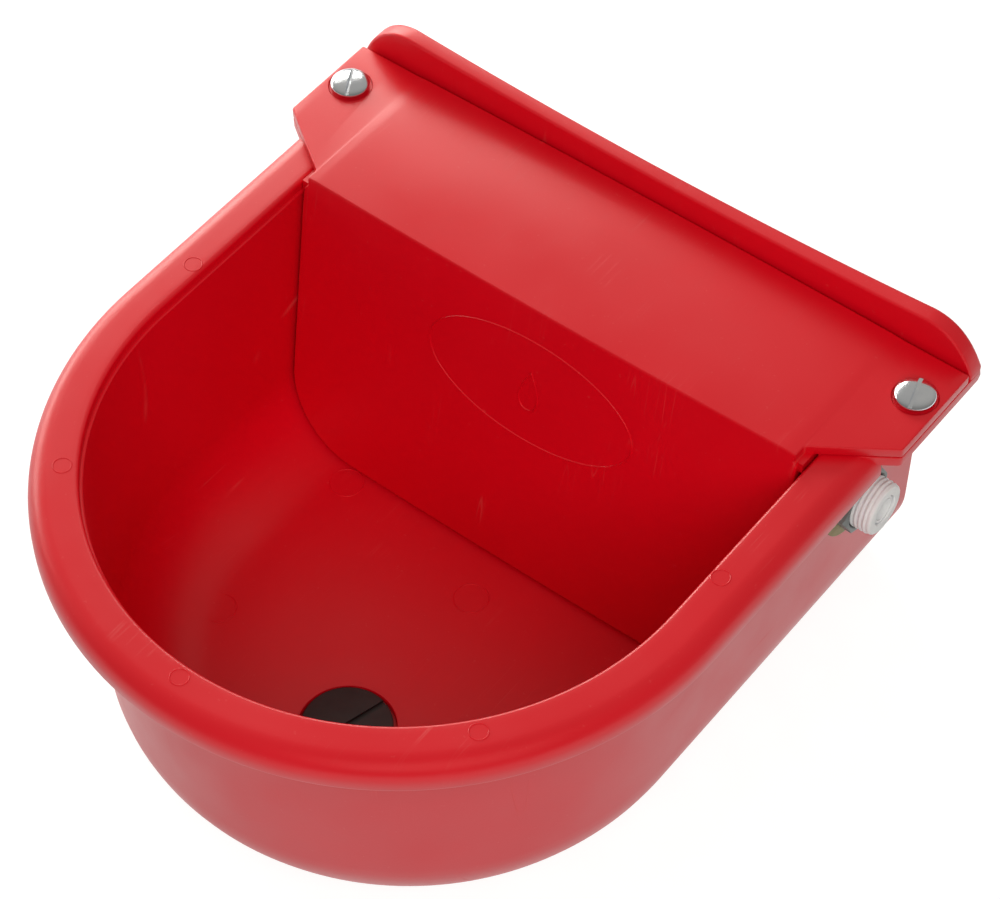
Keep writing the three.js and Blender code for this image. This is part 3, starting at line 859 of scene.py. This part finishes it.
def inlet_ring(name, node, hole_r, edge):
    low, high = node_box(node)
    return on_inlet(ring((high.y - low.y) / 2, hole_r, low.x, high.x, edge), name)


def inlet_nut():
    low, high = node_box("inlet_lock_nut")
    return on_inlet(hex_nut(NUT_FLATS["inlet"], low.x, high.x, INLET_HOLE_R), "inlet_hex_nut")


def yoke_arms():
    """The two cheeks that hold the float lever's pin."""
    outline = rounded_corners(YOKE["outline"], 3.0)
    arms = []
    for side in (-1, 1):
        near, far = sorted(INLET_Y + side * reach for reach in YOKE["sides"])
        arms.append(slab("yoke", outline, near, far, 0.4, 0.4, lambda x, z, depth: (x, depth, z)))
    return arms


def valve_cutters(end):
    """The stepped bore from the strainer to the piston, the lever's window and the pin hole."""
    on_axis = along_x(INLET_Y, INLET_Z)
    piston_r, piston_end = VALVE_BORES["piston"]
    orifice_r, orifice_start, orifice_end = VALVE_BORES["orifice"]
    inlet_r, inlet_start = VALVE_BORES["inlet"]
    mouth = 0.3
    funnel = [(0, inlet_start), (inlet_r, inlet_start), (inlet_r, end - mouth)]
    funnel += [(inlet_r + 2 * mouth, end + mouth), (0, end + mouth)]
    window_low, window_high = LEVER_WINDOW["x"]
    half_width = LEVER_WINDOW["half_width"]
    pin_place = at(0, INLET_Y) @ along_y(YOKE_PIN["x"], YOKE_PIN["z"])
    half_length = YOKE_PIN["half_length"]
    return [
        cylinder(piston_r, VALVE["tube_start"] - 1, piston_end, place=on_axis),
        cylinder(orifice_r, orifice_start, orifice_end, place=on_axis),
        turned("funnel", funnel, place=on_axis),
        block(
            (window_low, INLET_Y - half_width, INLET_Z - LEVER_WINDOW["depth"]),
            (window_high, INLET_Y + half_width, INLET_Z),
        ),
        cylinder(YOKE_PIN["r"], -half_length, half_length, 32, pin_place),
    ]


def valve_body():
    """The nylon inlet: a threaded nipple, a flange, and a yoke that carries the float's lever."""
    end = node_box("inlet_valve_body")[1].x
    start = VALVE["tube_start"]
    tube_r = VALVE["tube_r"]
    flange_low, flange_high = VALVE["flange"]
    flange_r = VALVE["flange_r"]
    shank_r = VALVE["shank_r"]
    core = [(0, start), (tube_r, start), (tube_r, flange_low), (flange_r, flange_low)]
    core += [(flange_r, flange_high), (shank_r, flange_high), (shank_r, end), (0, end)]
    body = turned("body", rounded_profile(core, 0.7), 96)
    shape = (VALVE["crest"], VALVE["root"], VALVE["pitch"])
    combine(body, [thread(*shape, flange_high - 0.2, end - 0.5, 96, 12)], "UNION")
    body.data.transform(along_x(INLET_Y, INLET_Z))
    combine(body, yoke_arms(), "UNION")
    combine(body, valve_cutters(end), "DIFFERENCE")
    body.name = "inlet_valve_nipple"
    return smooth(body)


def refined(node, name, edge):
    """A CAD node's shape with its flat faces merged, its edges eased and its curves smooth."""
    mesh = frame["nodes"][node].data.copy()
    found = bmesh.new()
    found.from_mesh(mesh)
    bmesh.ops.remove_doubles(found, verts=found.verts, dist=1e-6)
    flat_angle = math.radians(0.5)
    bmesh.ops.dissolve_limit(found, angle_limit=flat_angle, verts=found.verts, edges=found.edges)
    found.to_mesh(mesh)
    found.free()
    mesh.materials.clear()
    obj = bpy.data.objects.new(name, mesh)
    bpy.context.scene.collection.objects.link(obj)
    ease = obj.modifiers.new("ease", "BEVEL")
    ease.width = edge * MM
    ease.segments = 2
    ease.limit_method = "ANGLE"
    ease.angle_limit = math.radians(40)
    view = bpy.context.evaluated_depsgraph_get()
    obj.data = bpy.data.meshes.new_from_object(obj.evaluated_get(view))
    obj.modifiers.clear()
    return smooth(obj, 30)


# ---- materials -----------------------------------------------------------------------------
class Nodes:
    """Short calls for building one material's node tree."""

    def __init__(self, name):
        self.material = bpy.data.materials.new(name)
        self.material.use_nodes = True
        self.tree = self.material.node_tree
        self.shader = self.tree.nodes["Principled BSDF"]
        self.place = self.add("ShaderNodeTexCoord").outputs["Object"]

    def add(self, kind, **settings):
        node = self.tree.nodes.new(kind)
        for key, value in settings.items():
            setattr(node, key, value)
        return node

    def link(self, source, target):
        self.tree.links.new(source, target)

    def noise(self, scale, detail=3.0, roughness=0.5, stretch=None, distortion=0.0):
        node = self.add("ShaderNodeTexNoise")
        node.inputs["Scale"].default_value = scale
        node.inputs["Detail"].default_value = detail
        node.inputs["Roughness"].default_value = roughness
        node.inputs["Distortion"].default_value = distortion
        place = self.place
        if stretch is not None:
            mapping = self.add("ShaderNodeMapping")
            mapping.inputs["Rotation"].default_value = stretch[0]
            mapping.inputs["Scale"].default_value = stretch[1]
            self.link(self.place, mapping.inputs["Vector"])
            place = mapping.outputs["Vector"]
        self.link(place, node.inputs["Vector"])
        return node.outputs["Fac"]

    def ramp(self, value, low, high, start=0.0, end=1.0):
        """value from low to high becomes start to end, and stays there outside."""
        node = self.add("ShaderNodeMapRange", clamp=True)
        node.inputs["From Min"].default_value = low
        node.inputs["From Max"].default_value = high
        node.inputs["To Min"].default_value = start
        node.inputs["To Max"].default_value = end
        self.link(value, node.inputs["Value"])
        return node.outputs["Result"]

    def maths(self, operation, a, b):
        node = self.add("ShaderNodeMath", operation=operation)
        for socket, value in zip(node.inputs, (a, b)):
            if isinstance(value, (int, float)):
                socket.default_value = value
            else:
                self.link(value, socket)
        return node.outputs["Value"]

    def blend(self, amount, a, b):
        node = self.add("ShaderNodeMix", data_type="RGBA")
        colours = [s for s in node.inputs if s.type == "RGBA"]
        self.link(amount, node.inputs["Factor"])
        for socket, value in zip(colours, (a, b)):
            if isinstance(value, tuple):
                socket.default_value = (*value, 1)
            else:
                self.link(value, socket)
        return [s for s in node.outputs if s.type == "RGBA"][0]

    def bump(self, height, strength, distance, under=None):
        node = self.add("ShaderNodeBump")
        node.inputs["Strength"].default_value = strength
        node.inputs["Distance"].default_value = distance
        self.link(height, node.inputs["Height"])
        if under is not None:
            self.link(under, node.inputs["Normal"])
        return node.outputs["Normal"]

    def finish(self, colour=None, roughness=None, normal=None, **constants):
        sockets = self.shader.inputs
        if colour is not None:
            self.link(colour, sockets["Base Color"])
        if roughness is not None:
            self.link(roughness, sockets["Roughness"])
        if normal is not None:
            self.link(normal, sockets["Normal"])
        for key, value in constants.items():
            sockets[key.replace("_", " ")].default_value = value
        return self.material


def scratches(nodes, lean, turn, thin, patch_scale):
    """Sparse fine straight lines: level lines of a stretched noise, kept only in small patches."""
    ridge = nodes.noise(190.0, 0.0, 0.4, ((lean, 0.0, turn), (1.0, 0.012, 0.05)))
    distance = nodes.maths("ABSOLUTE", nodes.maths("SUBTRACT", ridge, 0.5), 0.0)
    line = nodes.ramp(distance, 0.0, thin, 1.0, 0.0)
    patch = nodes.ramp(nodes.noise(patch_scale, 2.0), 0.58, 0.76)
    return nodes.maths("MULTIPLY", line, patch)


RED_SHADES = ((0.66, 0.0009, 0.0100), (0.71, 0.0011, 0.0120))
PALE_MARK = (0.85, 0.30, 0.27)
MARK_STRENGTH = 0.13


def red_plastic():
    """Glossy moulded plastic with handling scratches and small pale specks."""
    nodes = Nodes("red_plastic")
    cloud = nodes.ramp(nodes.noise(9.0, 4.0), 0.35, 0.68)
    colour = nodes.blend(cloud, *RED_SHADES)
    rising = scratches(nodes, 0.3, 0.6, 0.010, 38.0)
    falling = scratches(nodes, -0.4, 2.3, 0.008, 51.0)
    lines = nodes.maths("MAXIMUM", rising, falling)
    specks = nodes.maths("MULTIPLY", nodes.ramp(nodes.noise(620.0, 1.0), 0.74, 0.78), 0.5)
    marks = nodes.maths("MAXIMUM", lines, specks)
    colour = nodes.blend(nodes.maths("MULTIPLY", marks, MARK_STRENGTH), colour, PALE_MARK)
    rough = nodes.ramp(nodes.noise(26.0, 4.0), 0.3, 0.7, 0.32, 0.42)
    rough = nodes.maths("ADD", rough, nodes.maths("MULTIPLY", lines, 0.2))
    grain = nodes.bump(nodes.noise(900.0, 2.0), 0.05, 0.0003)
    waves = nodes.bump(nodes.noise(16.0, 1.0), 0.12, 0.002, grain)
    normal = nodes.bump(lines, 0.18, 0.0002, waves)
    return nodes.finish(colour, rough, normal, IOR=1.5, Specular_IOR_Level=0.62)


def plain(name, light, dark, rough, metallic=0.0, grain=600.0, strength=0.08, **constants):
    """A moulded or turned finish: two close shades, uneven gloss and a fine grain."""
    nodes = Nodes(name)
    colour = nodes.blend(nodes.ramp(nodes.noise(60.0, 4.0), 0.35, 0.65), dark, light)
    gloss = nodes.ramp(nodes.noise(180.0, 3.0), 0.3, 0.7, rough[0], rough[1])
    normal = nodes.bump(nodes.noise(grain, 3.0), strength, 0.0004)
    return nodes.finish(colour, gloss, normal, Metallic=metallic, **constants)


def give(obj, material):
    obj.data.materials.clear()
    obj.data.materials.append(material)
    for face in obj.data.polygons:
        face.material_index = 0


# ---- the object ----------------------------------------------------------------------------
FINISHES = {
    "red_plastic": red_plastic(),
    "zinc_steel": plain(
        "zinc_steel", (0.86, 0.89, 0.93), (0.72, 0.76, 0.82), (0.12, 0.22),
        metallic=1.0, grain=300.0, strength=0.08,
    ),
    "black_plastic": plain(
        "black_plastic", (0.035, 0.030, 0.030), (0.020, 0.018, 0.018), (0.38, 0.5),
    ),
    "black_rubber": plain(
        "black_rubber", (0.03, 0.03, 0.03), (0.018, 0.018, 0.018), (0.6, 0.8),
    ),
    "white_nylon": plain(
        "white_nylon", (0.90, 0.92, 0.97), (0.84, 0.86, 0.92), (0.36, 0.48),
        Subsurface_Weight=0.5, Subsurface_Radius=(0.003, 0.003, 0.0032), Subsurface_Scale=1.0,
    ),
    "grey_plastic": plain(
        "grey_plastic", (0.20, 0.23, 0.23), (0.13, 0.15, 0.15), (0.42, 0.55),
    ),
    "tan_fibre": plain(
        "tan_fibre", (0.42, 0.36, 0.20), (0.28, 0.23, 0.11), (0.7, 0.9), grain=900.0, strength=0.4,
    ),
    "brass": plain("brass", (0.72, 0.54, 0.26), (0.58, 0.42, 0.18), (0.22, 0.36), metallic=1.0),
    "float_plastic": plain(
        "float_plastic", (0.78, 0.79, 0.80), (0.70, 0.71, 0.73), (0.36, 0.48),
    ),
}


def place(obj, body, slot, *nodes):
    give(obj, FINISHES[slot])
    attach(obj, body)
    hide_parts(*nodes)


place(trough_body(), "trough", "red_plastic", "trough_body")
place(float_cover(), "cover", "red_plastic", "float_cover")
for side_name, turn in SCREW_TURN.items():
    screw_node = f"{side_name}_cover_screw"
    place(cover_screw(side_name, turn), f"{side_name}_screw", "zinc_steel", screw_node)
    washer_node = f"{side_name}_screw_washer"
    washer = upright_ring(f"{side_name}_plain_washer", washer_node, SCREW_HOLE_R, 0.25)
    place(washer, f"{side_name}_washer", "zinc_steel", washer_node)
    place(cover_nut(side_name), "trough", "zinc_steel", f"{side_name}_cover_nut")
place(drain_plug(), "drain_stopper", "black_plastic", "drain_plug")
drain_gasket = upright_ring("drain_gasket", "drain_seal", DRAIN_GASKET_BORE, 0.4)
place(drain_gasket, "drain_ring", "black_rubber", "drain_seal")
place(valve_body(), "trough", "white_nylon", "inlet_valve_body")
place(inlet_nut(), "trough", "grey_plastic", "inlet_lock_nut")
fibre_washer = inlet_ring("fibre_washer", "inlet_washer", INLET_HOLE_R, 0.3)
place(fibre_washer, "trough", "tan_fibre", "inlet_washer")
flange_gasket = inlet_ring("flange_gasket", "inlet_gasket", INLET_HOLE_R, 0.4)
place(flange_gasket, "trough", "black_rubber", "inlet_gasket")

# CAD nodes that keep their shape, with the new piece's name and how far its edges are eased.
REFINED = {
    "inlet_strainer": ("strainer_cup", 0.15),
    "valve_seat": ("orifice_seat", 0.15),
    "valve_piston": ("piston_slide", 0.25),
    "piston_seal": ("piston_pad", 0.2),
    "pivot_pin": ("lever_pin", 0.2),
    "pivot_clip": ("pin_clip", 0.15),
    "float_lever": ("lever_arm", 0.5),
    "float_rod": ("arm_rod", 0.3),
    "rod_nut": ("arm_nut", 0.3),
    "float_cap": ("float_lid", 0.5),
    "float_shell": ("float_can", 0.4),
}
SLOT_OF = {entry["node"]: entry["material_slot"] for entry in frame["record"]["subparts"]}
BODY_OF = {}
for body, nodes in frame["record"]["behaviour"]["bodies"].items():
    BODY_OF.update({node: body for node in nodes})
for node, (name, edge) in REFINED.items():
    place(refined(node, name, edge), BODY_OF[node], SLOT_OF[node], node)


# ---- studio --------------------------------------------------------------------------------
# The sky is brightest towards BRIGHT_SIDE. Positions and sizes are in metres, power in watts.
BRIGHT_SIDE = (-0.45, 0.55, 0.70)
HORIZON_LIGHT = 0.22
FLOOR_GLOW = 0.85
SKY_LIGHT = 0.40
SKY_COLOUR = (1.0, 0.95, 0.87)
GRADIENT_END = 0.9
FLOOR_SIZE = 8
FLOOR_Z = -0.0005
LIGHTS = {
    "key": {
        "position": (-0.52, 0.46, 0.42), "target": (-0.05, 0.05, 0.08),
        "size": (0.46, 0.22), "power": 2.6,
    },
    "side": {
        "position": (-1.3, 0.3, 0.34), "target": (0, 0, 0.08),
        "size": (1.3, 0.4), "power": 10,
    },
    "fill": {
        "position": (0.85, -0.9, 1.22), "target": (0, 0, 0.05),
        "size": (1.3, 1.1), "power": 18.5, "glossy": False,
    },
}


def sky():
    """Soft light that grows from the horizon towards the bright side."""
    world = bpy.data.worlds.new("studio")
    world.use_nodes = True
    tree = world.node_tree
    background = tree.nodes["Background"]
    direction = tree.nodes.new("ShaderNodeTexCoord").outputs["Generated"]
    towards = tree.nodes.new("ShaderNodeVectorMath")
    towards.operation = "DOT_PRODUCT"
    towards.inputs[1].default_value = BRIGHT_SIDE
    tree.links.new(direction, towards.inputs[0])
    background.inputs["Color"].default_value = (*SKY_COLOUR, 1)
    strength = tree.nodes.new("ShaderNodeMapRange")
    strength.interpolation_type = "SMOOTHSTEP"
    strength.inputs["From Min"].default_value = 0.0
    strength.inputs["From Max"].default_value = GRADIENT_END
    strength.inputs["To Min"].default_value = HORIZON_LIGHT
    strength.inputs["To Max"].default_value = SKY_LIGHT
    tree.links.new(towards.outputs["Value"], strength.inputs["Value"])
    tree.links.new(strength.outputs["Result"], background.inputs["Strength"])
    bpy.context.scene.world = world


def studio_floor():
    """A glowing white floor. Diffuse light ignores it, so it doesn't over-light the walls."""
    bpy.ops.mesh.primitive_plane_add(size=FLOOR_SIZE, location=(0, 0, FLOOR_Z))
    floor = bpy.context.object
    floor.name = "floor"
    white = plain("floor_white", (0.30, 0.30, 0.30), (0.28, 0.28, 0.28), (0.7, 0.8))
    glow = white.node_tree.nodes["Principled BSDF"].inputs
    glow["Emission Color"].default_value = (1, 1, 1, 1)
    glow["Emission Strength"].default_value = FLOOR_GLOW
    give(floor, white)
    floor.visible_diffuse = False


def soft_light(name, position, target, size, power, glossy=True):
    """A rectangular light aimed at target. glossy False keeps it out of reflections."""
    data = bpy.data.lights.new(name, "AREA")
    data.shape = "RECTANGLE"
    data.size, data.size_y = size
    data.energy = power
    data.color = SKY_COLOUR
    light = bpy.data.objects.new(name, data)
    bpy.context.scene.collection.objects.link(light)
    light.visible_glossy = glossy
    light.location = position
    aim = Vector(target) - Vector(position)
    light.rotation_euler = aim.to_track_quat("-Z", "Y").to_euler()


CAMERA_AZIMUTH = 38.95
CAMERA_ELEVATION = 50.8
CAMERA_DISTANCE = 1.199
CAMERA_ROLL = -1.35
CAMERA_TARGET = Vector((0.0036, 0.0364, 0.0823))
CAMERA_LENS = 119.5


def camera():
    azimuth = math.radians(CAMERA_AZIMUTH)
    elevation = math.radians(CAMERA_ELEVATION)
    back = Vector((
        math.sin(azimuth) * math.cos(elevation),
        -math.cos(azimuth) * math.cos(elevation),
        math.sin(elevation),
    ))
    data = bpy.data.cameras.new("camera")
    data.lens = CAMERA_LENS
    data.clip_start = 0.01
    obj = bpy.data.objects.new("camera", data)
    bpy.context.scene.collection.objects.link(obj)
    obj.location = CAMERA_TARGET + back * CAMERA_DISTANCE
    look = (-back).to_track_quat("-Z", "Y").to_matrix().to_4x4()
    turn = Matrix.Rotation(math.radians(CAMERA_ROLL), 4, "Z")
    obj.matrix_world = Matrix.Translation(obj.location) @ look @ turn
    bpy.context.scene.camera = obj


bpy.context.scene.view_settings.view_transform = "Standard"
sky()
studio_floor()
for light_name, settings in LIGHTS.items():
    soft_light(light_name, **settings)
camera()
